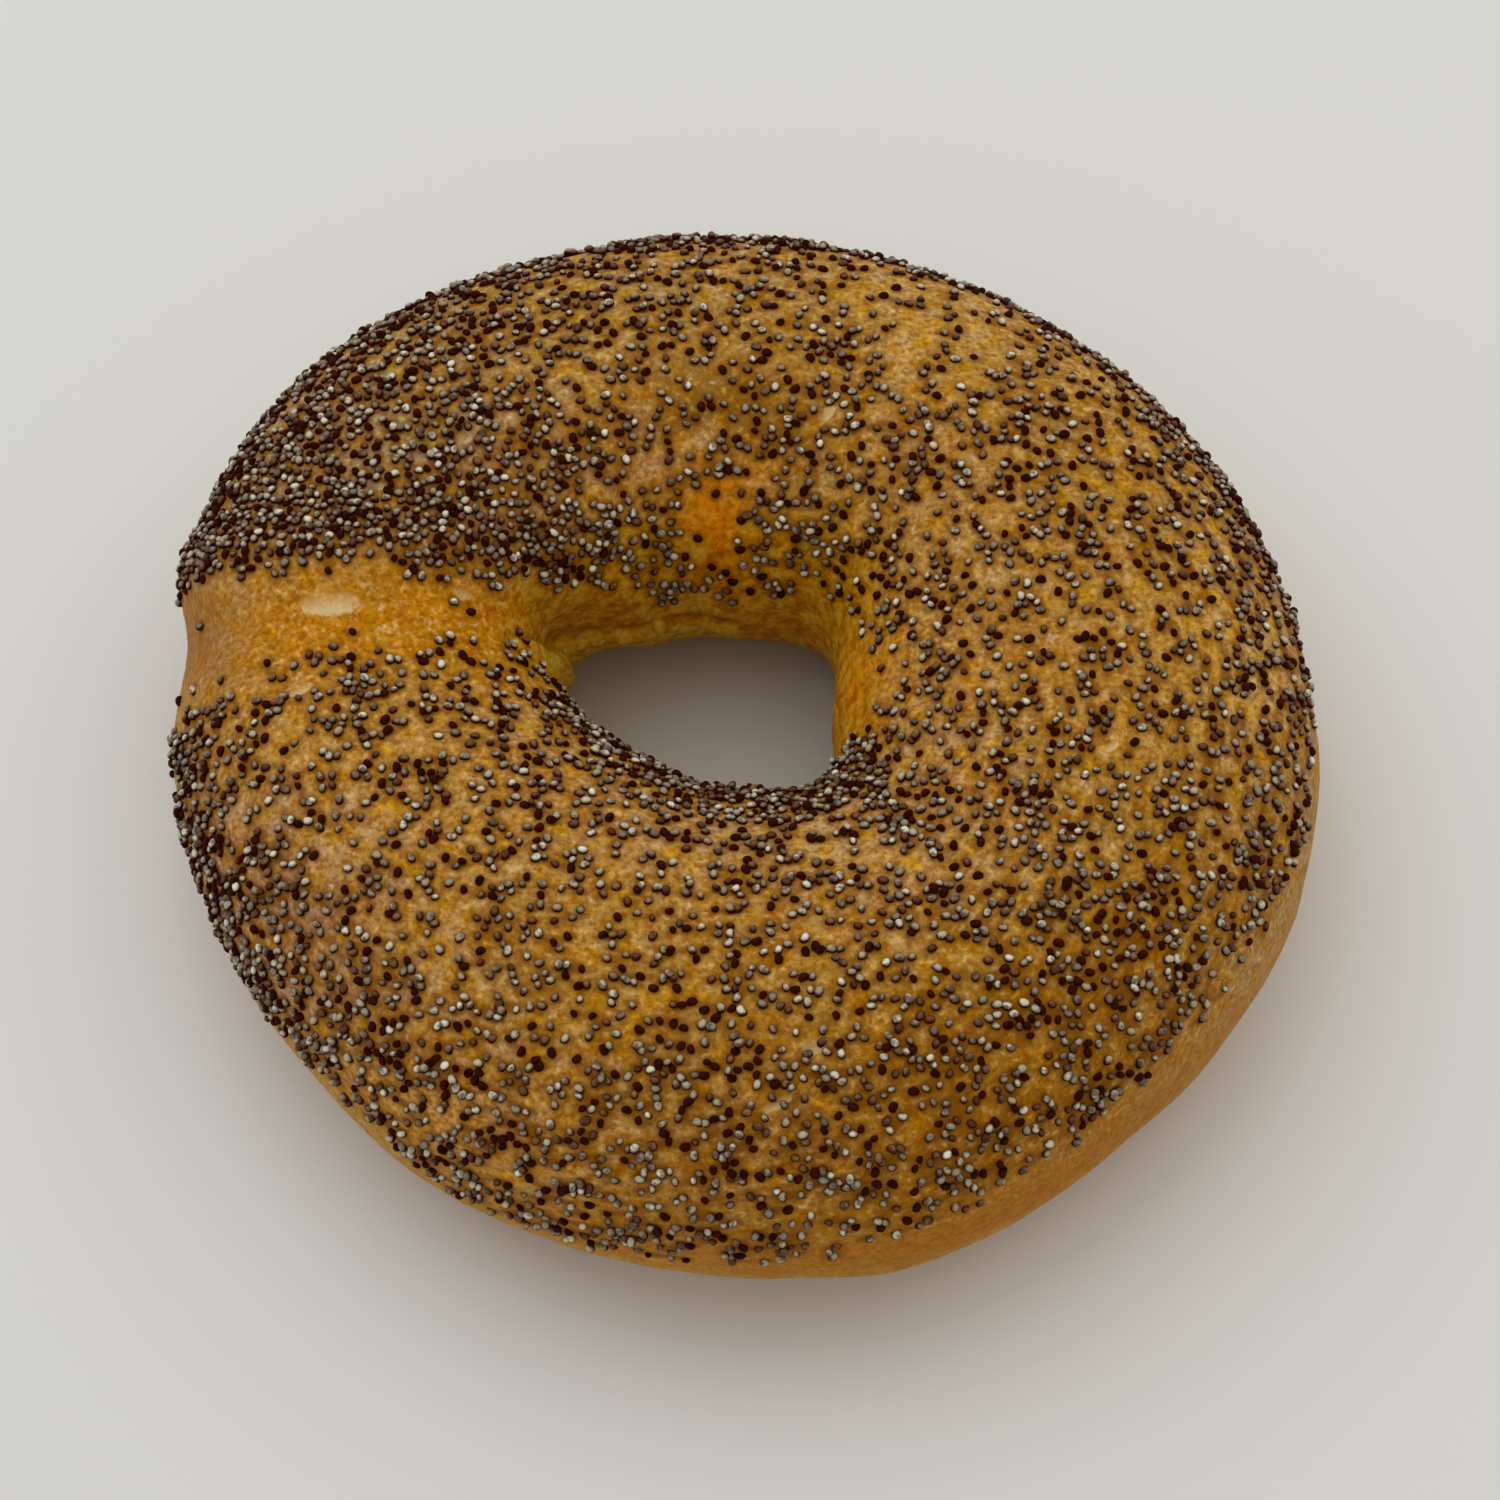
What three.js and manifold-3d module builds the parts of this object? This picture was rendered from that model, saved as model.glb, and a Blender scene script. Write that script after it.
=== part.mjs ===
// A hand-rolled poppy seed bagel: one ring of baked dough with its seam at the left,
// a flat base, and a sample of its poppy seeds fused to the crust.
// Millimetres and degrees, +Z up, resting on z = 0.
//
// "around" is the angle round the hole, from +X, anticlockwise seen from above.
// "over" is the angle round the dough: 0 outer side, 90 crest, 180 hole wall, 270 base.

import * as THREE from 'three';
import { mergeVertices } from 'three/addons/utils/BufferGeometryUtils.js';
import Module from 'manifold-3d';

// Outer side and hole wall, seen from above: a circle each, with swells where the dough
// bulges out (grow > 0) or draws in (grow < 0).
const outerSide = {
  centre: [0.7, -1.5],
  radius: 56.5,
  swells: [
    { at: 145, spread: 34, grow: 5.0 },
    { at: 100, spread: 25, grow: 0.9 },
    { at: 222, spread: 28, grow: -2.1 },
    { at: 262, spread: 22, grow: -2.3 },
    { at: 310, spread: 22, grow: -2.0 },
  ],
};
const holeWall = {
  centre: [-3.2, 4.1],
  radius: 11.5,
  swells: [
    { at: 158, spread: 24, grow: 3.5 },
    { at: 230, spread: 30, grow: -2.0 },
    { at: 314, spread: 24, grow: 4.1 },
    { at: 38, spread: 28, grow: 2.5 },
    { at: 85, spread: 26, grow: -1.1 },
  ],
};

// Section of the dough: a rounded square, widest below half height, cut flat underneath.
const section = {
  height: 34,
  heightSwells: [
    { at: 140, spread: 26, grow: 0.9 },
    { at: 60, spread: 30, grow: -0.3 },
    { at: 250, spread: 40, grow: 0.4 },
  ],
  widestShare: 0.42,
  topPower: 2.3,
  basePower: 2.35,
  baseCut: 1.2,
};

// Seam where the two ends of the roll meet. Its valley leans from the outer side over
// the crest, and swings under the upper lobe as it enters the hole.
const seam = {
  crestAround: 176,
  lean: 4.5,
  leanOver: 85,
  leanSpan: 65,
  swingFrom: 140,
  swingRate: 0.25,
  outerDepth: 1.5,
  holeDepth: 2.8,
  deepenFrom: 105,
  deepenTo: 175,
  lobeWidth: 5,
  rollWidth: 9,
  lipRise: 0.6,
  lipOffset: 8,
  lipWidth: 4,
  fadeOut: [-48, -12],
  fadeIn: [205, 245],
};

const ringSteps = 88;
const sectionSteps = 24;
const seamCrowding = 0.45;

// Poppy seeds: their size, how deep they sit, and how they are drawn.
const seed = {
  count: 208,
  halfLength: 0.6,
  halfWidth: 0.47,
  halfHeight: 0.42,
  sink: 0.06,
  sizeSpread: 0.12,
  candidates: 24,
  drawSeed: 41,
};

// Where the seeds lie: between an outer edge and a hole edge, in degrees over the dough,
// and clear of the smooth band along the seam, in millimetres from its valley.
const cover = {
  outerEdge: 7,
  bareStrip: { at: 335, spread: 52, grow: 19 },
  holeEdge: 163,
  bareWall: { at: 335, spread: 35, grow: -18 },
  underLobe: { at: 160, spread: 14, grow: -26 },
  seamFrom: -8,
  seamTo: 7.5,
};

const crust = { color: 0xbb8438, roughness: 0.62, metalness: 0 };

const { degToRad, radToDeg, smoothstep, seededRandom } = THREE.MathUtils;
const fullTurn = 360;
const goldenRatio = (1 + Math.sqrt(5)) / 2;
const wrapDegrees = (angle) => THREE.MathUtils.euclideanModulo(angle + 180, fullTurn) - 180;
const bump = (offset, spread) => Math.exp(-((offset / spread) ** 2));
const swellAt = (around, { at, spread, grow }) => grow * bump(wrapDegrees(around - at), spread);
const swellSum = (around, swells) => swells.reduce((sum, swell) => sum + swellAt(around, swell), 0);

function sidePoint(around, { centre, radius, swells }) {
  const reach = radius + swellSum(around, swells);
  const angle = degToRad(around);
  return new THREE.Vector2(...centre).add(
    new THREE.Vector2(Math.cos(angle), Math.sin(angle)).multiplyScalar(reach),
  );
}

// Unit section outline at one angle: how far out from its middle, and how far up.
function sectionPoint(over) {
  const outward = Math.cos(degToRad(over));
  const upward = Math.sin(degToRad(over));
  const power = upward >= 0 ? section.topPower : section.basePower;
  const reach = (Math.abs(outward) ** power + Math.abs(upward) ** power) ** (-1 / power);
  return [outward * reach, upward * reach];
}

function seamValley(over) {
  const lean = seam.lean * ((over - seam.leanOver) / seam.leanSpan) ** 2;
  const swing = seam.swingRate * Math.max(over - seam.swingFrom, 0);
  return seam.crestAround - lean - swing;
}

// Distance from the seam's valley along the ring: negative on the upper lobe.
function seamOffset(around, over, point) {
  return degToRad(wrapDegrees(around - seamValley(over))) * Math.hypot(point.x, point.y);
}

function seamRelief(offset, over) {
  const fade = smoothstep(over, ...seam.fadeOut) * (1 - smoothstep(over, ...seam.fadeIn));
  const deepen = smoothstep(over, seam.deepenFrom, seam.deepenTo);
  const depth = THREE.MathUtils.lerp(seam.outerDepth, seam.holeDepth, deepen);
  const valley = depth * bump(offset, offset < 0 ? seam.lobeWidth : seam.rollWidth);
  const lip = seam.lipRise * bump(offset + seam.lipOffset, seam.lipWidth);
  return fade * (lip - valley);
}

// A point of the crust, with "over" counted from -90 to 270.
function crustPoint(around, over) {
  const outer = sidePoint(around, outerSide);
  const inner = sidePoint(around, holeWall);
  const middle = outer.clone().lerp(inner, 0.5);
  const [outward, upward] = sectionPoint(over);
  const flat = middle.clone().lerp(outer, outward);
  const height = section.height + swellSum(around, section.heightSwells);
  const widest = section.widestShare * height;
  const reach = upward >= 0 ? height - widest : widest + section.baseCut;
  const point = new THREE.Vector3(flat.x, flat.y, widest + reach * upward);
  const core = new THREE.Vector3(middle.x, middle.y, widest);
  const outwards = point.clone().sub(core).normalize();
  point.addScaledVector(outwards, seamRelief(seamOffset(around, over, point), over));
  point.z = Math.max(point.z, 0);
  return point;
}

function crustNormal(around, over) {
  const step = 0.5;
  const along = crustPoint(around + step, over).sub(crustPoint(around - step, over));
  const across = crustPoint(around, over + step).sub(crustPoint(around, over - step));
  return along.cross(across).normalize();
}

// The ring: a torus with its columns crowded towards the seam, moved onto the crust.
function makeRing() {
  const torus = new THREE.TorusGeometry(2, 1, sectionSteps, ringSteps);
  torus.deleteAttribute('normal');
  torus.deleteAttribute('uv');
  const ring = mergeVertices(torus, 1e-4);
  const place = ring.getAttribute('position');
  for (let i = 0; i < place.count; i += 1) {
    const [x, y, z] = [place.getX(i), place.getY(i), place.getZ(i)];
    const evenly = radToDeg(Math.atan2(y, x));
    const pull = Math.sin(degToRad(evenly - seam.crestAround));
    const around = evenly - radToDeg(seamCrowding * pull);
    const turned = radToDeg(Math.atan2(z, Math.hypot(x, y) - 2));
    const over = turned < -90 ? turned + fullTurn : turned;
    place.setXYZ(i, ...crustPoint(around, over).toArray());
  }
  return ring;
}

function isSeeded({ around, over, point }) {
  const outerEdge = cover.outerEdge + swellAt(around, cover.bareStrip);
  const holeEdge = cover.holeEdge + swellSum(around, [cover.bareWall, cover.underLobe]);
  const offset = seamOffset(around, over, point);
  const onSeam = offset > cover.seamFrom && offset < cover.seamTo;
  return over > outerEdge && over < holeEdge && !onSeam;
}

// A random seeded place, as likely on the narrow inner rounds as their area is small.
function drawPlace() {
  const widestReach = outerSide.radius + outerSide.swells[0].grow;
  for (;;) {
    const around = fullTurn * seededRandom();
    const over = cover.holeEdge * seededRandom();
    const place = { around, over, point: crustPoint(around, over) };
    const areaShare = Math.hypot(place.point.x, place.point.y) / widestReach;
    if (seededRandom() < areaShare && isSeeded(place)) return place;
  }
}

// Seeds are spread evenly: each new one takes the emptiest of several random places.
function scatterSeeds() {
  seededRandom(seed.drawSeed);
  const places = [drawPlace()];
  while (places.length < seed.count) {
    const drawn = Array.from({ length: seed.candidates }, drawPlace);
    for (const place of drawn) {
      place.gap = Math.min(...places.map(({ point }) => point.distanceTo(place.point)));
    }
    places.push(drawn.reduce((best, place) => (place.gap > best.gap ? place : best)));
  }
  return places;
}

// A seed is an icosahedron standing on one corner, stretched and laid on the crust.
function makeSeed({ around, over, point }) {
  const size = 1 + seed.sizeSpread * (2 * seededRandom() - 1);
  const shape = new THREE.IcosahedronGeometry(1, 0);
  shape.rotateX(Math.atan(1 / goldenRatio));
  shape.scale(seed.halfLength * size, seed.halfWidth * size, seed.halfHeight * size);
  shape.rotateZ(Math.PI * seededRandom());
  const normal = crustNormal(around, over);
  const upright = new THREE.Quaternion().setFromUnitVectors(new THREE.Vector3(0, 0, 1), normal);
  shape.applyQuaternion(upright);
  shape.translate(...point.clone().addScaledVector(normal, -seed.sink).toArray());
  shape.deleteAttribute('normal');
  shape.deleteAttribute('uv');
  return mergeVertices(shape, 1e-4);
}

const wasm = await Module();
wasm.setup();

function toSolid(geometry) {
  const vertProperties = new Float32Array(geometry.getAttribute('position').array);
  const triVerts = new Uint32Array(geometry.getIndex().array);
  return new wasm.Manifold(new wasm.Mesh({ numProp: 3, vertProperties, triVerts }));
}

function toGeometry(solid) {
  const { vertProperties, triVerts } = solid.getMesh();
  const geometry = new THREE.BufferGeometry();
  geometry.setAttribute('position', new THREE.BufferAttribute(vertProperties, 3));
  geometry.setIndex(new THREE.BufferAttribute(triVerts, 1));
  geometry.computeVertexNormals();
  return geometry;
}

function makeBagel() {
  const seeds = scatterSeeds().map((place) => toSolid(makeSeed(place)));
  const solid = wasm.Manifold.union([toSolid(makeRing()), ...seeds]);
  const bagel = new THREE.Mesh(toGeometry(solid), new THREE.MeshStandardMaterial(crust));
  bagel.name = 'bagel';
  return bagel;
}

const group = new THREE.Group();
group.add(makeBagel());

export default group;
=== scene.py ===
# A hand-rolled poppy seed bagel on a pale table: crust, seeds, camera and soft light.
# Sizes are in millimetres and angles in degrees until a mesh or a camera takes them.
import itertools
import math

import bpy
import numpy as np
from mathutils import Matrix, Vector, kdtree, noise


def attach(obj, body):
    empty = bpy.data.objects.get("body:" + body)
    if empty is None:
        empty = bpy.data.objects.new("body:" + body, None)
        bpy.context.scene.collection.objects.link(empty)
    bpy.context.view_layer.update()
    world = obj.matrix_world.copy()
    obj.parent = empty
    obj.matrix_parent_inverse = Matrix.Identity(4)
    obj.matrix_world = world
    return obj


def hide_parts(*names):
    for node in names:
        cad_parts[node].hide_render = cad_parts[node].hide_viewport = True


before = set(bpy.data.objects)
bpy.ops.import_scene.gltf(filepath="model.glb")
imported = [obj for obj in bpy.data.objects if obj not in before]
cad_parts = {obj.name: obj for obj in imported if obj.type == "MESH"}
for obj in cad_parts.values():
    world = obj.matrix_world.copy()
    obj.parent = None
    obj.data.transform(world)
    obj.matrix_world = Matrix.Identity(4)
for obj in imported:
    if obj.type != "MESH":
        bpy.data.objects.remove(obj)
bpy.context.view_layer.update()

mm = 0.001


def deselectAll():
    if bpy.context.object and bpy.context.object.mode != "OBJECT":
        bpy.ops.object.mode_set(mode="OBJECT")
    bpy.ops.object.select_all(action="DESELECT")


def applyAll(piece):
    deselectAll()
    piece.select_set(True)
    bpy.context.view_layer.objects.active = piece
    for modifier in list(piece.modifiers):
        bpy.ops.object.modifier_apply(modifier=modifier.name)


def readField(items, name, width=1, kind=float):
    values = np.empty(len(items) * width, kind)
    items.foreach_get(name, values)
    return values.reshape(-1, width) if width > 1 else values


def addAttribute(piece, name, values, kind="FLOAT"):
    attribute = piece.data.attributes.new(name, kind, "POINT")
    field = "value" if kind == "FLOAT" else "color"
    attribute.data.foreach_set(field, np.asarray(values, np.float32).ravel())


view = {
    "height": 62,  # degrees above the table
    "distance": 420,
    "target": (0.6, -1.6, 16),
    "lens": 100.8,
    "sensor": 36,
    "nearest": 10,
}


def addCamera():
    height = math.radians(view["height"])
    back = Vector((0, -math.cos(height), math.sin(height)))
    place = (Vector(view["target"]) + back * view["distance"]) * mm
    bpy.ops.object.camera_add(location=place, rotation=(math.pi / 2 - height, 0, 0))
    camera = bpy.context.object
    camera.data.lens = view["lens"]
    camera.data.sensor_width = view["sensor"]
    camera.data.clip_start = view["nearest"] * mm
    bpy.context.scene.camera = camera


table = {
    "size": 3000,
    "color": (0.80, 0.80, 0.765),
    "holeShade": (0.62, 0.615, 0.545),  # painted shade: the paper under the bagel, darker and warmer inside the hole
    "holeShadeAt": (-3, 4), "holeShadeFrom": 40, "holeShadeTo": 14,
    "roughness": 0.7,
    "sheen": 0.2,
}


def addTable():
    bpy.ops.mesh.primitive_plane_add(size=table["size"] * mm, location=(0, 0, 0))
    floor = bpy.context.object
    floor.name = "table"
    finish, tree, shader = newFinish("tablePaper")
    centre = (table["holeShadeAt"][0] * mm, table["holeShadeAt"][1] * mm, 0)
    # Painted shade: the paper grows darker towards the middle of the hole
    away = vectorNode(tree, "DISTANCE", {0: objectSpot(tree), 1: centre}, "Value")
    shadedHole = stretch(tree, away, table["holeShadeFrom"] * mm, table["holeShadeTo"] * mm)
    paper = mixColor(tree, shadedHole, table["color"], table["holeShade"])
    tree.links.new(paper, shader.inputs["Base Color"])
    shader.inputs["Roughness"].default_value = table["roughness"]
    shader.inputs["Specular IOR Level"].default_value = table["sheen"]
    floor.data.materials.append(finish)


light = {
    "sky": (1.0, 0.965, 0.93),
    "skyStrength": 0.55,
    "softbox": 900,
    "boxes": [
        {"place": (-350, 350, 866), "watts": 3.1, "color": (0.84, 0.93, 1.0)},
        {"place": (350, 350, 866), "watts": 1.4, "color": (1.0, 0.95, 0.84)},
    ],
}


def addLight():
    world = bpy.data.worlds.new("softSky")
    bpy.context.scene.world = world
    world.use_nodes = True
    backdrop = world.node_tree.nodes["Background"]
    backdrop.inputs["Color"].default_value = (*light["sky"], 1)
    backdrop.inputs["Strength"].default_value = light["skyStrength"]
    for box in light["boxes"]:
        place = Vector(box["place"]) * mm
        bpy.ops.object.light_add(type="AREA", location=place)
        softbox = bpy.context.object
        softbox.rotation_euler = place.to_track_quat("Z", "Y").to_euler()
        softbox.data.size = light["softbox"] * mm
        softbox.data.energy = box["watts"]
        softbox.data.color = box["color"]


# The shape of the dough. "around" runs round the hole from +X, anticlockwise from above.
# "over" runs round the dough: 0 outer side, 90 crest, 180 hole wall, 270 base.
# A swell is (around, spread, how far the dough grows).
dough = {
    "outerSide": {
        "centre": (0.7, -1.5),
        "radius": 56.5,
        "swells": [(145, 34, 5.0), (100, 25, 0.9), (222, 28, -2.1), (262, 22, -2.3), (310, 22, -2.0)],
    },
    "holeWall": {
        "centre": (-3.2, 4.1),
        "radius": 11.5,
        "swells": [(158, 24, 3.5), (230, 30, -2.0), (314, 24, 4.1), (38, 28, 2.5), (85, 26, -1.1)],
    },
    "height": 34,
    "heightSwells": [(140, 26, 0.9), (60, 30, -0.3), (250, 40, 0.4)],
    "widestShare": 0.42,
    "topPower": 2.3,
    "basePower": 2.35,
    "baseCut": 1.2,
    "torus": (35, 20),  # radii of the even ring that the dough is shaped from
    "ringSteps": 256, "seamCrowding": (176, 0.25),  # columns and rows stand closer
    "sectionSteps": 240, "topCrowding": (75, 0.38),  # about these angles
}

# The seam's valley leans over the crest and swings aside in the hole
seam = {
    "crestAround": 176,
    "lean": 4.5,
    "leanOver": 85,
    "leanSpan": 65,
    "swingFrom": 140,
    "swingRate": 0.25,
    "outerDepth": 1.5,
    "holeDepth": 2.8,
    "deepen": (105, 175),
    "lobeWidth": 5,
    "rollWidth": 9,
    "lipRise": 0.6,
    "lipOffset": 8,
    "lipWidth": 4,
    "span": ((-48, -12), (205, 245)),
}


def wrap(angle):
    return (angle + 180) % 360 - 180


def bump(offset, spread):
    return np.exp(-((offset / spread) ** 2))


def ramp(value, start, end):
    share = np.clip((value - start) / (end - start), 0, 1)
    return share * share * (3 - 2 * share)


# 1 between two soft edges, each given by where it starts and ends
def between(value, rise, fall):
    return ramp(value, *rise) * (1 - ramp(value, *fall))


# 1 in the middle of a soft patch of the crust, 0 far from it
def nearness(around, over, at, height, spreadAround, spreadOver):
    return bump(wrap(around - at), spreadAround) * bump(over - height, spreadOver)


def through(value, points):
    return np.interp(value, *zip(*points))


def unit(vectors):
    return vectors / np.linalg.norm(vectors, axis=1, keepdims=True)


def crowd(angle, centre, share):
    return angle - np.degrees(share * np.sin(np.radians(angle - centre)))


def swellSum(around, swells):
    return sum(grow * bump(wrap(around - at), spread) for at, spread, grow in swells)


def sidePoint(around, side):
    reach = side["radius"] + swellSum(around, side["swells"])
    angle = np.radians(around)
    return np.stack([side["centre"][0] + reach * np.cos(angle),
                     side["centre"][1] + reach * np.sin(angle)], -1)


# Millimetres from the seam's valley, along the ring: negative on the upper lobe
def seamOffset(around, over, point):
    lean = seam["lean"] * ((over - seam["leanOver"]) / seam["leanSpan"]) ** 2
    swing = seam["swingRate"] * np.maximum(over - seam["swingFrom"], 0)
    valley = seam["crestAround"] - lean - swing
    return np.radians(wrap(around - valley)) * np.hypot(point[:, 0], point[:, 1])


def seamRelief(offset, over):
    deepen = ramp(over, *seam["deepen"])
    depth = seam["outerDepth"] + (seam["holeDepth"] - seam["outerDepth"]) * deepen
    valley = depth * bump(offset, np.where(offset < 0, seam["lobeWidth"], seam["rollWidth"]))
    lip = seam["lipRise"] * bump(offset + seam["lipOffset"], seam["lipWidth"])
    return between(over, *seam["span"]) * (lip - valley)


# Points of the smooth dough, and which way its skin faces there
def crustPoints(around, over):
    outer = sidePoint(around, dough["outerSide"])
    inner = sidePoint(around, dough["holeWall"])
    middle = (outer + inner) / 2
    outward, upward = np.cos(np.radians(over)), np.sin(np.radians(over))
    power = np.where(upward >= 0, dough["topPower"], dough["basePower"])
    reach = (np.abs(outward) ** power + np.abs(upward) ** power) ** (-1 / power)
    outward, upward = outward * reach, upward * reach
    height = dough["height"] + swellSum(around, dough["heightSwells"])
    widest = dough["widestShare"] * height
    rise = np.where(upward >= 0, height - widest, widest + dough["baseCut"]) * upward
    flat = middle + (outer - middle) * outward[:, None]
    point = np.column_stack([flat, widest + rise])
    return point, unit(point - np.column_stack([middle, widest]))


# Relief of the crust
crumple = {
    "broadSize": 13, "broadRise": 0.9,  # long unevenness of hand-rolled dough
    "fineSize": 1.5, "fineRise": 0.13,  # pimpled skin
    "octaves": 2,
    "fadeIn": (0.2, 3), "fadeSteps": 10,  # heights over which both begin above the flat base
    # Dents along the hole: (around, over, spread around, spread over, depth)
    "dents": [(108, 195, 36, 45, 0.8), (223, 142, 13, 26, 1.0), (200, 146, 14, 24, 0.8),
              (262, 142, 50, 26, 0.9)],
    # Low on the far hole wall the dough steps out to a skirt, whose edge runs through
    # (around, over) points and whose rise through (around, rise) points
    "skirtEdge": [(60, 190), (100, 186), (124, 184), (140, 183), (152, 181), (161, 172),
                  (170, 150), (176, 134)],
    "skirtRise": [(60, 0.0), (90, 0.35), (120, 0.55), (130, 0.9), (138, 1.7), (147, 2.1),
                  (160, 1.3), (172, 0.5), (178, 0.0)],
    "skirtStep": (-1.5, 6), "skirtEnd": (215, 245),
    "skirtShown": (0, 0.3),  # rises over which its tint and its crease begin to show
    "creaseDepth": 0.45, "creaseShift": -1, "creaseWidth": 1.8,
    # A pinch of dough hangs at the hole's left corner, with a gap beside it
    "pinch": (163, 176), "pinchSlope": -0.22, "pinchRise": 1.3, "pinchWidth": 4.2,
    "pinchSpan": ((162, 182), (222, 245)), "pinchTintWidth": 5,
    "gapShift": -7.5, "gapDepth": 0.6, "gapWidth": 2.0,
    "topSpan": ((25, 45), (140, 160)),  # where the stretch lines and scars below may lie
    # Seed-free stretch lines: half width, then plan points
    "lines": [
        (0.8, [(-4, -19), (1, -17.5), (8, -21.5), (15, -23), (20, -23.3), (27, -25), (32, -23),
               (35.5, -21)]),
        (0.6, [(8, -30.4), (11, -30.5), (14.5, -31.4), (19, -33.3)]),
        (0.8, [(-20.6, -7), (-17.6, -10.3), (-13.7, -15), (-9.8, -19.6), (-5, -24)]),
        (0.8, [(-2.3, 26.5), (-4.6, 24.7), (-6.6, 23.7), (-11, 21), (-15, 19.3)]),
        (1.3, [(15, 45), (15.3, 42), (16, 36), (16.2, 31)]),
        (0.9, [(19, 43), (19, 38), (18, 34)]),
        (1.2, [(22.5, 44), (23.5, 38), (24, 35)]),
    ],
    "lineDepth": 0.06,
    # Pale blister scars: plan place, length, width, turn, and how pale
    "scars": [
        ((-40.3, 5.6), 6.2, 2.6, 3, 0.95),
        ((-42.6, -3.9), 2.4, 1.2, 20, 0.8),
        ((-27.5, 7.6), 1.9, 1.3, 0, 0.6),
        ((8.4, 27.4), 2.2, 1.1, 60, 0.7),
        ((35, -10.8), 1.9, 1.0, 40, 0.8),
        ((32, -14.5), 1.5, 0.8, 70, 0.7),
        ((6.5, -41.5), 2.6, 1.7, 25, 0.6),
        ((3, -46.5), 3.0, 1.0, 25, 0.6),
        ((-21.4, -23.7), 1.7, 1.0, 10, 0.7),
    ],
    "scarRise": 0.12, "scarEdge": (0.7, 1.15),
}


def lineDistance(plan, line):
    nearest = np.full(len(plan), np.inf)
    for start, end in zip(line[:-1], line[1:]):
        start, end = np.array(start, float), np.array(end, float)
        along = end - start
        share = np.clip((plan - start) @ along / (along @ along), 0, 1)
        gap = np.linalg.norm(plan - start - share[:, None] * along, axis=1)
        nearest = np.minimum(nearest, gap)
    return nearest


def lineMask(plan):
    mask = np.zeros(len(plan))
    for width, line in crumple["lines"]:
        mask = np.maximum(mask, bump(lineDistance(plan, line), width))
    return mask


def scarMask(plan):
    mask = np.zeros(len(plan))
    for place, length, width, turn, _ in crumple["scars"]:
        angle = math.radians(turn)
        offset = plan - np.array(place)
        along = offset @ np.array([math.cos(angle), math.sin(angle)])
        across = offset @ np.array([-math.sin(angle), math.cos(angle)])
        size = np.hypot(along / (length / 2), across / (width / 2))
        mask = np.maximum(mask, 1 - ramp(size, *crumple["scarEdge"]))
    return mask


# How far the hole wall's folds rise, where they are tinted, and where the crease runs
def holeFolds(around, over):
    below = over - through(around % 360, crumple["skirtEdge"])
    rise = through(around % 360, crumple["skirtRise"])
    shown = ramp(rise, *crumple["skirtShown"])
    skirt = ramp(below, *crumple["skirtStep"]) * (1 - ramp(over, *crumple["skirtEnd"]))
    crease = shown * bump(below - crumple["creaseShift"], crumple["creaseWidth"])
    folds = rise * skirt - crumple["creaseDepth"] * crease
    for *place, depth in crumple["dents"]:
        folds -= depth * nearness(around, over, *place)
    pinchAround, pinchOver = crumple["pinch"]
    aside = wrap(around - pinchAround - crumple["pinchSlope"] * (over - pinchOver))
    hangs = between(over, *crumple["pinchSpan"])
    pinch = crumple["pinchRise"] * bump(aside, crumple["pinchWidth"])
    pinch -= crumple["gapDepth"] * bump(aside - crumple["gapShift"], crumple["gapWidth"])
    tinted = np.maximum(skirt * shown, hangs * bump(aside, crumple["pinchTintWidth"]))
    return folds + pinch * hangs, tinted, crease


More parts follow.
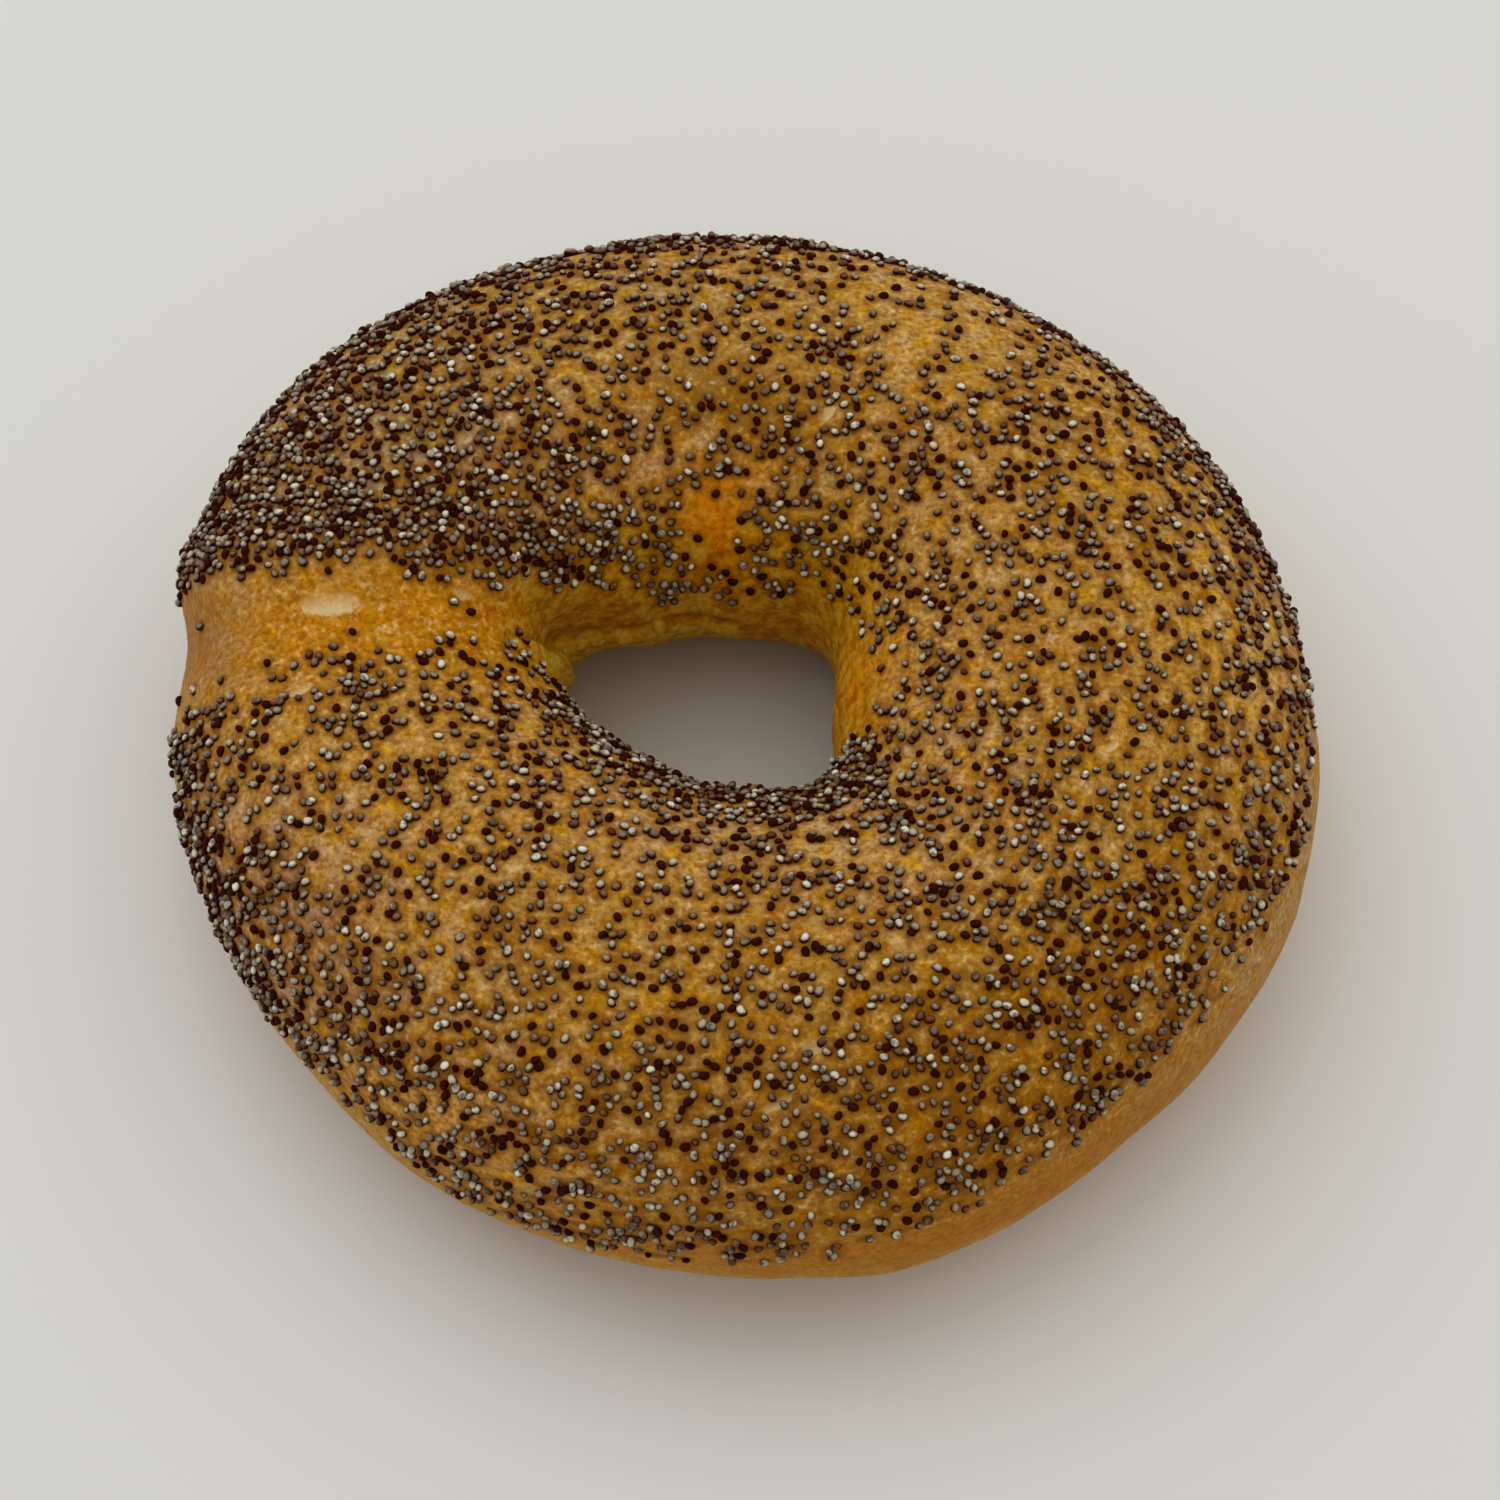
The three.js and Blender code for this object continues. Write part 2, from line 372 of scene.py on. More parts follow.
# Seeds for each square millimetre: an even cover, and patches that hold more or fewer.
# A patch is (around, over, spread around, spread over, seeds more). Edges run through
# (around, over) points, and those of the bare seam through (over, millimetres from its valley).
cover = {
    "even": 0.42,
    "outerEdge": [(0, 22), (25, 11), (70, 2), (180, 4), (205, 0), (228, 4), (243, -6), (262, -2),
                  (278, 9), (290, 15), (307, 21), (330, 26), (345, 23), (360, 22)],
    "holeEdge": [(0, 142), (6, 145), (25, 154), (37, 160), (50, 164), (66, 174), (80, 172),
                 (95, 169), (108, 172), (116, 175), (124, 163), (142, 158), (152, 149), (165, 140),
                 (180, 158), (200, 166), (318, 166), (326, 163), (332, 146), (342, 138),
                 (355, 139), (360, 142)],
    "outerFade": (-3, 4), "holeFade": (-4, 3),
    "seamFrom": [(30, -6.0), (60, -6.2), (92, -5.9), (104, -4.3), (125, -4.3), (140, -6.5)],
    "seamTo": [(20, 7.0), (55, 6.5), (70, 3.6), (98, 3.0), (118, 0.8), (143, 0.9), (158, 4.0)],
    "seamFromFade": (-0.5, 0.5), "seamToFade": (-1.5, 2),
    "seamBare": 0.985, "lineBare": 0.9,  # share of the seeds that is missing there
    "ragged": 1.6,  # how far clumps of seeds reach over the seam's edges
    "patches": [
        (150, 72, 21, 50, 0.52),   # upper lobe, heavy up to the seam
        (142, 112, 19, 24, 0.30),
        (95, 18, 72, 26, 0.75),    # back of the outer side
        (200, 10, 15, 24, 0.55),   # left outer side
        (243, 2, 13, 8, 0.30),
        (62, 52, 20, 16, -0.18),   # sparse shoulder at the back
        (300, 58, 42, 40, 0.12),   # nearest quarter
        (322, 58, 14, 16, 0.12),
        (232, 45, 28, 20, 0.06),
        (232, 112, 40, 18, 0.06),
        (212, 143, 25, 16, 0.50),  # near lip of the hole
        (262, 143, 34, 16, 0.65),
        (305, 141, 22, 16, 0.65),
        (290, 118, 26, 11, 0.14),
        (304, 92, 12, 10, 0.12),   # clumps
        (328, 91, 4, 8, 0.60),
        (320, 76, 6, 7, 0.45),
        (312, 112, 8, 6, 0.30),
        (228, 104, 7, 7, 0.18),
        (116, 170, 5, 6, 0.50),    # seeds that rolled onto the far wall
        (143, 142, 15, 11, 0.45),  # far lip of the hole
        (116, 118, 11, 9, 0.22),
        (68, 124, 11, 14, 0.22),
        (122, 137, 11, 12, 0.22),
        (324, 156, 8, 8, 0.60),
        (40, 106, 38, 12, 0.08),
        (88, 145, 10, 16, -0.60),  # smooth patches
        (285, 18, 14, 7, -0.20),
    ],
    "heap": (-4.5, 4.0, 0.55),  # beside the bare seam: shift, spread, seeds more
    "heapSpan": ((10, 30), (135, 155)),
    "clumps": 0.45, "clumpSize": 2.4,
    # Rows of seeds that run over the dough, strongest beside the seam: their size across and
    # along, and the radii round the hole and round the dough on which they are laid out
    "rows": 0.324, "rowSize": (1.1, 6.0), "rowRadii": (35, 18),
    "rowsMore": 2.7, "rowsAround": (193, 13),
    "unevenRange": (0.1, 3.0),
}


def seedCover(around, over, point, offset, bare):
    seeds = np.full(len(around), cover["even"])
    for *place, more in cover["patches"]:
        seeds += more * nearness(around, over, *place)
    seamFrom, seamTo = through(over, cover["seamFrom"]), through(over, cover["seamTo"])
    shift, spread, more = cover["heap"]
    seeds += more * bump(offset - seamFrom - shift, spread) * between(over, *cover["heapSpan"])

    clumps = np.array([noise.noise(Vector(p) / cover["clumpSize"]) for p in point])
    (across, along), (ringRadius, doughRadius) = cover["rowSize"], cover["rowRadii"]
    unrolled = np.stack([np.radians(around) * ringRadius / across,
                         np.radians(over) * doughRadius / along, np.zeros(len(over))], 1)
    rows = np.array([noise.noise(Vector(p)) for p in unrolled])
    rowsAt, rowsSpread = cover["rowsAround"]
    strength = cover["rows"] + cover["rowsMore"] * bump(wrap(around - rowsAt), rowsSpread)
    uneven = np.clip(1 + cover["clumps"] * clumps + strength * rows, *cover["unevenRange"])

    inside = ramp(over - through(around % 360, cover["outerEdge"]), *cover["outerFade"])
    inside *= 1 - ramp(over - through(around % 360, cover["holeEdge"]), *cover["holeFade"])
    ragged = cover["ragged"] * clumps
    onSeam = ramp(offset + ragged - seamFrom, *cover["seamFromFade"])
    onSeam *= 1 - ramp(offset + 2 * ragged - seamTo, *cover["seamToFade"])
    return np.maximum(seeds, 0) * inside * (1 - cover["seamBare"] * onSeam) * uneven * (1 - bare)


# How the oven coloured the crust, with painted shade in its crease and between seeds: an
# even tint, then soft patches over it as (around, over, spread around, spread over, tint, share)
bakeAndShade = {
    "even": (0.462, 0.234, 0.030),
    "patches": [
        (0, 116, 400, 24, (0.425, 0.212, 0.036), 1.0),   # inner slope all round
        (148, 75, 20, 48, (0.36, 0.275, 0.105), 0.9),    # under the thick seeds of the lobe
        (110, 62, 36, 28, (0.375, 0.225, 0.050), 0.85),
        (75, 35, 50, 16, (0.49, 0.260, 0.062), 0.7),     # back shoulder
        (40, 74, 22, 14, (0.38, 0.205, 0.034), 0.7),
        (90, 110, 19, 14, (0.19, 0.092, 0.005), 0.9),    # browned above the hole
        (284, 74, 30, 17, (0.385, 0.190, 0.014), 0.8),   # nearest crest
        (295, 38, 42, 32, (0.335, 0.140, 0.0), 0.95),    # nearest side
        (236, 29, 14, 14, (0.80, 0.380, 0.060), 0.85),
        (295, 5, 45, 17, (0.37, 0.125, 0.0), 1.0),
        (352, 22, 30, 18, (0.40, 0.225, 0.060), 0.8),
        (4, 47, 16, 15, (0.66, 0.385, 0.085), 0.8),
        (250, 45, 40, 25, (0.45, 0.220, 0.045), 0.5),
        (210, 42, 18, 28, (0.45, 0.225, 0.085), 0.8),    # left outer side
        (285, 128, 60, 14, (0.44, 0.265, 0.080), 0.8),   # near lip of the hole
        (305, 105, 25, 16, (0.50, 0.285, 0.080), 0.6),
        (158, 115, 12, 22, (0.27, 0.160, 0.026), 0.9),   # hole end of the lobe, darker: painted shade between its seeds
        (178, 118, 11, 18, (0.42, 0.195, 0.0), 0.9),
        (45, 158, 24, 18, (0.56, 0.330, 0.030), 0.9),    # right far corner of the hole
    ],
    "hole": (0.53, 0.240, 0.0), "holeFrom": (126, 158),
    "holeBack": (85, 163, 30, 22, (0.72, 0.320, 0.0), 0.9),
    "orange": (90, 145, 15, 19, (0.60, 0.190, 0.0), 1.3),
    "holeRight": (352, 158, 24, 22, (0.60, 0.190, 0.0), 0.9),
    "seam": (0.455, 0.170, 0.0), "seamWidth": 7, "seamSpan": ((-40, -10), (150, 175)),
    "seamEnd": (0.33, 0.130, 0.020), "seamEndFade": (35, 70),  # its outer end is darker
    "skirt": (0.62, 0.390, 0.020),
    # painted shade: the crease above the skirt is darker
    "crease": (0.22, 0.085, 0.0), "creaseShadeShare": 0.6,
    "line": (0.58, 0.330, 0.100), "lineShare": 0.3,
    "base": (0.36, 0.165, 0.030), "baseInner": (222, 246), "baseOuter": (-68, -40),
    "flecksFrom": (-5, 35), "flecksThin": (128, 150), "thinner": 0.75,  # fewer in the hole
    "smoothSeam": 0.7, "smoothOrange": 0.8,  # share of the flecks that is missing there
    "blisterSpan": ((130, 155), (215, 250)),
}


def tint(color, share, other):
    return color + (np.array(other) - color) * np.clip(share, 0, 1)[:, None]


def tintPatch(color, around, over, patch):
    *place, other, share = patch
    return tint(color, share * nearness(around, over, *place), other)


def bakeAndShadeColor(around, over, offset, folded, crease, lined):
    color = np.tile(bakeAndShade["even"], (len(around), 1))
    for patch in bakeAndShade["patches"]:
        color = tintPatch(color, around, over, patch)
    onSeam = bump(offset, bakeAndShade["seamWidth"]) * between(over, *bakeAndShade["seamSpan"])
    pastEnd = ramp(over, *bakeAndShade["seamEndFade"])
    color = tint(color, onSeam * pastEnd, bakeAndShade["seam"])
    color = tint(color, onSeam * (1 - pastEnd), bakeAndShade["seamEnd"])
    color = tint(color, ramp(over, *bakeAndShade["holeFrom"]), bakeAndShade["hole"])
    for name in ("holeBack", "orange", "holeRight"):
        color = tintPatch(color, around, over, bakeAndShade[name])
    color = tint(color, folded, bakeAndShade["skirt"])
    # Painted shade in the crease
    color = tint(color, bakeAndShade["creaseShadeShare"] * crease, bakeAndShade["crease"])
    color = tint(color, bakeAndShade["lineShare"] * lined, bakeAndShade["line"])
    inner, outer = ramp(over, *bakeAndShade["baseInner"]), 1 - ramp(over, *bakeAndShade["baseOuter"])
    color = tint(color, np.where(over > 180, inner, outer), bakeAndShade["base"])
    return np.column_stack([color, np.ones(len(color))])


# How much of the crust is flecked: less in the hole and where the skin is stretched smooth
def fleckShare(around, over, offset):
    seamEnd = bump(offset, bakeAndShade["seamWidth"]) * (1 - ramp(over, *bakeAndShade["seamEndFade"]))
    orange = nearness(around, over, *bakeAndShade["orange"][:4])
    smooth = bakeAndShade["smoothSeam"] * seamEnd + bakeAndShade["smoothOrange"] * orange
    thin = 1 - bakeAndShade["thinner"] * ramp(over, *bakeAndShade["flecksThin"])
    return ramp(over, *bakeAndShade["flecksFrom"]) * thin * (1 - smooth)


def addDisplace(piece, name, size, rise):
    cloud = bpy.data.textures.new(name, "CLOUDS")
    cloud.noise_scale = size * mm
    cloud.noise_depth = crumple["octaves"]
    modifier = piece.modifiers.new(name, "DISPLACE")
    modifier.texture = cloud
    modifier.texture_coords = "LOCAL"
    modifier.strength = rise * mm
    modifier.vertex_group = "aboveBase"


def weighAboveBase(piece, height):
    lifted = ramp(height, *crumple["fadeIn"])
    group = piece.vertex_groups.new(name="aboveBase")
    steps = crumple["fadeSteps"]
    for step in range(steps + 1):
        chosen = np.nonzero(np.abs(lifted - step / steps) <= 0.5 / steps)[0]
        group.add(chosen.tolist(), step / steps, "REPLACE")


# An even ring, and where each of its vertices lies around and over
def makeRing():
    deselectAll()
    radius, thick = dough["torus"]
    bpy.ops.mesh.primitive_torus_add(
        major_segments=dough["ringSteps"], minor_segments=dough["sectionSteps"],
        major_radius=radius * mm, minor_radius=thick * mm, location=(0, 0, 0))
    ring = bpy.context.object
    x, y, z = readField(ring.data.vertices, "co", 3).T
    around = crowd(np.degrees(np.arctan2(y, x)), *dough["seamCrowding"])
    over = np.degrees(np.arctan2(z, np.hypot(x, y) - radius * mm))
    over = crowd(over, *dough["topCrowding"])
    return ring, around, np.where(over < -90, over + 360, over)


def addCrust():
    crust, around, over = makeRing()
    crust.name = "crust"
    point, away = crustPoints(around, over)
    offset = seamOffset(around, over, point)
    onTop = between(over, *crumple["topSpan"])
    lined = lineMask(point[:, :2]) * onTop
    scarred = scarMask(point[:, :2]) * onTop
    folds, folded, crease = holeFolds(around, over)
    relief = seamRelief(offset, over) + folds
    relief -= crumple["lineDepth"] * lined - crumple["scarRise"] * scarred
    point += away * relief[:, None]
    point[:, 2] = np.maximum(point[:, 2], 0)
    crust.data.vertices.foreach_set("co", (point * mm).ravel())
    crust.data.update()

    weighAboveBase(crust, point[:, 2])
    addDisplace(crust, "broad", crumple["broadSize"], crumple["broadRise"])
    addDisplace(crust, "fine", crumple["fineSize"], crumple["fineRise"])
    applyAll(crust)
    bpy.ops.object.shade_smooth()

    bare = np.maximum(cover["lineBare"] * lined, scarred)
    bakedAndShaded = bakeAndShadeColor(around, over, offset, folded, crease, lined)
    addAttribute(crust, "cover", seedCover(around, over, point, offset, bare))
    addAttribute(crust, "bakeAndShade", bakedAndShaded, "FLOAT_COLOR")
    addAttribute(crust, "flecks", fleckShare(around, over, offset))
    addAttribute(crust, "blistered", between(over, *bakeAndShade["blisterSpan"]))
    return crust


# Poppy seeds
poppy = {
    "length": 1.00, "width": 0.86, "thick": 0.80, "sizeSpread": 0.18,
    "notch": 0.14, "notchWidth": 0.45,  # hollow of the kidney shape
    "taper": 0.10,  # one end is this much thinner, the other as much thicker
    "segments": 10, "rings": 5,
    "rise": 0.10, "riseSpread": 0.08,  # middle of a seed above the crust
    "tilt": 0.22, "leanTilt": 3,  # a leaning seed tilts more
    "gap": 0.66,  # least distance between neighbours
    "fullest": 1.44,  # seeds for each square millimetre when no more would fit
    "packedMost": 0.85,
    "lean": 0.86, "leanLift": 0.34,  # a seed closer than this to another leans on it
    "glazeAndShadeFrom": 0.45, "glazeAndShadeTo": 0.95,  # the crust is browner this close to a seed: glaze round it, and painted shade beside it
    "paintedLightward": (0, 0.3, 0.8),  # added to the crust's normal, it points to the lamps: a seed's side facing that way is painted palest, the other side painted dark
    "draw": 7,  # starts the random draws
}

# Kinds of seed: each seed's tone lies between the dark and the light of its kind
seedKinds = [
    {"name": "seeds_slate", "share": 0.23, "gloss": 0.30,
     "light": (0.350, 0.310, 0.220), "dark": (0.200, 0.130, 0.070)},
    {"name": "seeds_ash", "share": 0.27, "gloss": 0.30,
     "light": (0.600, 0.540, 0.380), "dark": (0.380, 0.290, 0.170)},
    {"name": "seeds_brown", "share": 0.14, "gloss": 0.30,
     "light": (0.260, 0.130, 0.045), "dark": (0.110, 0.036, 0.010)},
    {"name": "seeds_dark", "share": 0.23, "gloss": 0.05,
     "light": (0.040, 0.004, 0.001), "dark": (0.012, 0.001, 0.001)},
    {"name": "seeds_pale", "share": 0.13, "gloss": 0.30,
     "light": (0.88, 0.84, 0.66), "dark": (0.66, 0.58, 0.41)},
]


# One kidney-shaped seed, lying on the table, modelled once
def modelSeed():
    deselectAll()
    bpy.ops.mesh.primitive_uv_sphere_add(
        segments=poppy["segments"], ring_count=poppy["rings"], radius=0.5, location=(0, 0, 0),
        rotation=(0, math.pi / 2, 0))
    seed = bpy.context.object
    bpy.ops.object.transform_apply(location=False, rotation=True, scale=False)
    bpy.ops.object.mode_set(mode="EDIT")
    bpy.ops.mesh.select_all(action="SELECT")
    bpy.ops.transform.resize(value=(poppy["length"], poppy["width"], poppy["thick"]))
    bpy.ops.object.mode_set(mode="OBJECT")
    for vertex in seed.data.vertices:
        along = 2 * vertex.co.x / poppy["length"]
        hollow = poppy["notch"] * bump(along, poppy["notchWidth"])
        vertex.co.y -= hollow * (0.5 + vertex.co.y / poppy["width"])
        vertex.co.z *= 1 - poppy["taper"] * along
    corners = np.array([vertex.co[:] for vertex in seed.data.vertices])
    # A new sphere lists its faces in another order from run to run
    faces = sorted(list(face.vertices) for face in seed.data.polygons)
    bpy.data.objects.remove(seed)
    return corners, faces


# Random places on the crust, thick where its cover asks for many seeds
def drawPlaces(crust, rng):
    mesh = crust.data
    spots = readField(mesh.vertices, "co", 3) / mm
    normals = readField(mesh.vertices, "normal", 3)
    quads = readField(mesh.loops, "vertex_index", kind=int).reshape(-1, 4)
    areas = readField(mesh.polygons, "area")
    wanted = readField(mesh.attributes["cover"].data, "value")[quads].mean(1)
    packed = np.clip(wanted / poppy["fullest"], 0, poppy["packedMost"])
    darts = areas / mm ** 2 * poppy["fullest"] * packed / (1 - packed)
    tries = int(darts.sum())
    faces = rng.choice(len(quads), tries, p=darts / darts.sum())
    u, v = rng.random((2, tries, 1))
    weights = np.stack([(1 - u) * (1 - v), u * (1 - v), u * v, (1 - u) * v], 1)
    place = (spots[quads[faces]] * weights).sum(1)
    normal = (normals[quads[faces]] * weights).sum(1)
    return place, unit(normal)


def cellOf(place):
    return tuple(math.floor(c) for c in place)


def nearbyGaps(cells, place):
    home = cellOf(place)
    found = []
    for step in itertools.product((-1, 0, 1), repeat=3):
        found += cells.get(tuple(h + s for h, s in zip(home, step)), ())
    return [math.dist(place, other) for other in found]


# Keeps the drawn places that don't crowd a seed already laid; close ones lean on it
def layDown(place, normal):
    cells, chosen, lifts = {}, [], []
    for i, spot in enumerate(place.tolist()):
        nearest = min(nearbyGaps(cells, spot), default=poppy["lean"])
        if nearest < poppy["gap"]:
            continue
        closeness = max(poppy["lean"] - nearest, 0) / (poppy["lean"] - poppy["gap"])
        cells.setdefault(cellOf(spot), []).append(spot)
        chosen.append(i)
        lifts.append(poppy["leanLift"] * closeness)
    return place[chosen], normal[chosen], np.array(lifts)


# How near each point of the crust lies to a seed: 1 beside it, 0 further off. It sets the glaze and
# painted shade round the seeds
def markGlazeAndShade(crust, seeds):
    vertices = crust.data.vertices
    tree = kdtree.KDTree(len(vertices))
    for vertex in vertices:
        tree.insert(vertex.co / mm, vertex.index)
    tree.balance()
    glazeAndShade = np.zeros(len(vertices))
    for seed in seeds.tolist():
        for _, index, gap in tree.find_range(seed, poppy["glazeAndShadeTo"]):
            near = (poppy["glazeAndShadeTo"] - gap) / (poppy["glazeAndShadeTo"] - poppy["glazeAndShadeFrom"])
            glazeAndShade[index] = max(glazeAndShade[index], min(near, 1))
    addAttribute(crust, "glazeAndShade", glazeAndShade)


# All seeds of one kind as one piece, each a turned and sized copy of the modelled one
def addKind(name, model, turn, middle, paintedLightward, tone):
    corners, faces = model
    spots = np.einsum("nij,kj->nki", turn, corners)
    # Each corner's height towards the lamps, which sets the painted shade of the seed's sides
    lift = np.einsum("nki,ni->nk", spots, paintedLightward)
    spots += middle[:, None, :]
    copies = [[c + n * len(corners) for c in face] for n in range(len(middle)) for face in faces]
    mesh = bpy.data.meshes.new(name)
    mesh.from_pydata((spots.reshape(-1, 3) * mm).tolist(), [], copies)
    mesh.shade_smooth()
    seeds = bpy.data.objects.new(name, mesh)
    bpy.context.scene.collection.objects.link(seeds)
    addAttribute(seeds, "tone", np.repeat(tone, len(corners)))
    addAttribute(seeds, "lift", lift.ravel() / poppy["thick"])
    print(name, len(middle), "seeds")
    return seeds


def addSeeds(crust):
    rng = np.random.default_rng(poppy["draw"])
    model = modelSeed()
    place, normal, lifts = layDown(*drawPlaces(crust, rng))
    total = len(place)
    tilt = rng.normal(0, poppy["tilt"], (total, 3)) * (1 + poppy["leanTilt"] * lifts)[:, None]
    up = unit(normal + tilt)
    along = unit(np.cross(up, rng.normal(0, 1, (total, 3))))
    turn = np.stack([along, np.cross(up, along), up], 2)
    size = 1 + poppy["sizeSpread"] * rng.uniform(-1, 1, total)
    turn = turn * size[:, None, None]
    rise = poppy["rise"] + lifts + rng.uniform(-poppy["riseSpread"], poppy["riseSpread"], total)
    middle = place + normal * rise[:, None]
    tone = rng.random(total)
    kind = rng.choice(len(seedKinds), total, p=[look["share"] for look in seedKinds])
    paintedLightward = unit(normal + poppy["paintedLightward"])
    markGlazeAndShade(crust, middle)
    pieces = []
    for number, look in enumerate(seedKinds):
        mine = np.nonzero(kind == number)[0]
        pieces.append(addKind(look["name"], model, turn[mine], middle[mine], paintedLightward[mine], tone[mine]))
    print("seeds laid:", total, "of them leaning:", int((lifts > 0).sum()))
    return pieces


# Helpers for the finishes
def newFinish(name):
    finish = bpy.data.materials.new(name)
    finish.use_nodes = True
    tree = finish.node_tree
    return finish, tree, tree.nodes["Principled BSDF"]


def addNode(tree, kind, links=(), **values):
    node = tree.nodes.new(kind)
    for name, value in values.items():
        setattr(node, name, value)
    for socket, source in dict(links).items():
        if isinstance(source, bpy.types.NodeSocket):
            tree.links.new(source, node.inputs[socket])
        else:
            node.inputs[socket].default_value = source
    return node


def objectSpot(tree):
    return addNode(tree, "ShaderNodeTexCoord").outputs["Object"]


def readAttribute(tree, name, output="Fac"):
    return addNode(tree, "ShaderNodeAttribute", attribute_name=name).outputs[output]


def mixColor(tree, share, first, second):
    first = first if isinstance(first, bpy.types.NodeSocket) else (*first, 1)
    second = second if isinstance(second, bpy.types.NodeSocket) else (*second, 1)
    node = addNode(tree, "ShaderNodeMix", {"Factor": share}, data_type="RGBA")
    for socket, source in (("A", first), ("B", second)):
        target = [s for s in node.inputs if s.name == socket and s.type == "RGBA"][0]
        if isinstance(source, bpy.types.NodeSocket):
            tree.links.new(source, target)
        else:
            target.default_value = source
    return [s for s in node.outputs if s.type == "RGBA"][0]


def mathNode(tree, operation, first, second):
    return addNode(tree, "ShaderNodeMath", {0: first, 1: second}, operation=operation).outputs[0]


def vectorNode(tree, operation, links, output="Vector"):
    return addNode(tree, "ShaderNodeVectorMath", links, operation=operation).outputs[output]


def stretch(tree, value, low, high, toLow=0.0, toHigh=1.0):
    links = {"Value": value, "From Min": low, "From Max": high, "To Min": toLow, "To Max": toHigh}
    return addNode(tree, "ShaderNodeMapRange", links, clamp=True).outputs["Result"]


grainLook = {"detail": 2.5, "roughness": 0.55}


# Fine grain read at an object's own coordinates; size is in millimetres
def makeGrain():
    group = bpy.data.node_groups.new("fineGrain", "ShaderNodeTree")
    group.interface.new_socket("Size", in_out="INPUT", socket_type="NodeSocketFloat")
    group.interface.new_socket("Warp", in_out="INPUT", socket_type="NodeSocketFloat")
    group.interface.new_socket("Value", in_out="OUTPUT", socket_type="NodeSocketFloat")
    inside = group.nodes.new("NodeGroupInput")
    outside = group.nodes.new("NodeGroupOutput")
    scale = mathNode(group, "DIVIDE", 1 / mm, inside.outputs["Size"])
    grain = addNode(group, "ShaderNodeTexNoise", {
        "Vector": objectSpot(group), "Scale": scale, "Detail": grainLook["detail"],
        "Roughness": grainLook["roughness"], "Distortion": inside.outputs["Warp"]})
    group.links.new(grain.outputs["Fac"], outside.inputs["Value"])
    return group


def grainValue(tree, group, size, warp):
    links = {"Size": size, "Warp": warp}
    return addNode(tree, "ShaderNodeGroup", links, node_tree=group).outputs["Value"]


def roughen(tree, shader, height, strength, depth):
    links = {"Height": height, "Strength": strength, "Distance": depth * mm}
    relief = addNode(tree, "ShaderNodeBump", links)
    tree.links.new(relief.outputs["Normal"], shader.inputs["Normal"])


# The baked crust's finish. A range stretches a grain from its first two numbers to the last two.
crustFinish = {
    "amber": (0.350, 0.100, 0.0),
    "olive": (0.560, 0.340, 0.020),
    "fleck": (0.700, 0.440, 0.130),
    "seedGlazeAndShade": (0.220, 0.066, 0.0), "seedGlazeAndShadeShare": 0.90,  # glaze beside the seeds, and painted shade round them
    "roughness": 0.60,
    "sheen": 0.13, "sheenTint": (1.0, 0.75, 0.35),
    # Grains: size and warp
    "mottle": (0.58, 0.0),
    "freckles": (0.70, 0.0),
    "blotches": (1.6, 0.3),
    "clouds": (6.0, 0.4),
    "ripe": (2.0, 0.2),
    # Ranges
    "cloudAmber": (0.52, 0.72, 0, 0.40),
    "speckle": (0.52, 0.40), "speckleFlecked": (0, 1, 0.28, 0.60),
    "blisterOlive": (0.50, 0.62, 0, 0.60),
    "blisterAmber": (0.50, 0.38, 0, 0.60),
    "paleFlecks": (0.53, 0.72, 0, 0.50),
    "brightMottle": (0.34, 0.66, 0.50, 0.84),
    "brightBlotches": (0.32, 0.68, 0.36, 0.54),
    "brightFreckles": (0.34, 0.66, -0.13, 0.13),
    "ripeGreen": (0.30, 0.70, 0.90, 1.18),
    "ripeBlue": (0.32, 0.72, 0.10, 2.6),
    # Blister scars: ragged ovals, whose far side keeps only a share of their paleness, a painted shade
    # of the scar's dimple
    "scar": (0.740, 0.520, 0.245),
    "scarHeight": 32, "scarReach": 6,
    "scarRagged": 0.8, "scarEdge": (1.47, 1.25),
    "farShadeRagged": 1.6, "farShade": (1.45, 0.35), "farShadeShare": 0.12,
    "blotchRelief": 1.5, "reliefStrength": 0.6, "reliefDepth": 0.2,
}


def scarShare(tree, raggedness, place, length, width, turn, pale):
    look = crustFinish
    centred = addNode(tree, "ShaderNodeMapping", {
        "Vector": objectSpot(tree),
        "Location": (place[0] * mm, place[1] * mm, look["scarHeight"] * mm),
        "Rotation": (0, 0, math.radians(turn)),
        "Scale": (length / 2 * mm, width / 2 * mm, look["scarReach"] * mm)},
        vector_type="TEXTURE").outputs["Vector"]
    reach = vectorNode(tree, "LENGTH", {0: centred}, "Value")
    reach = mathNode(tree, "ADD", reach, mathNode(tree, "MULTIPLY", raggedness, look["scarRagged"]))
    # Painted shade: the scar less pale towards its far side
    farShade = addNode(tree, "ShaderNodeSeparateXYZ", {"Vector": centred}).outputs["Y"]
    farShade = mathNode(tree, "ADD", farShade, mathNode(tree, "MULTIPLY", raggedness, look["farShadeRagged"]))
    farShade = stretch(tree, farShade, *look["farShade"], look["farShadeShare"] * pale, pale)
    return mathNode(tree, "MULTIPLY", stretch(tree, reach, *look["scarEdge"]), farShade)


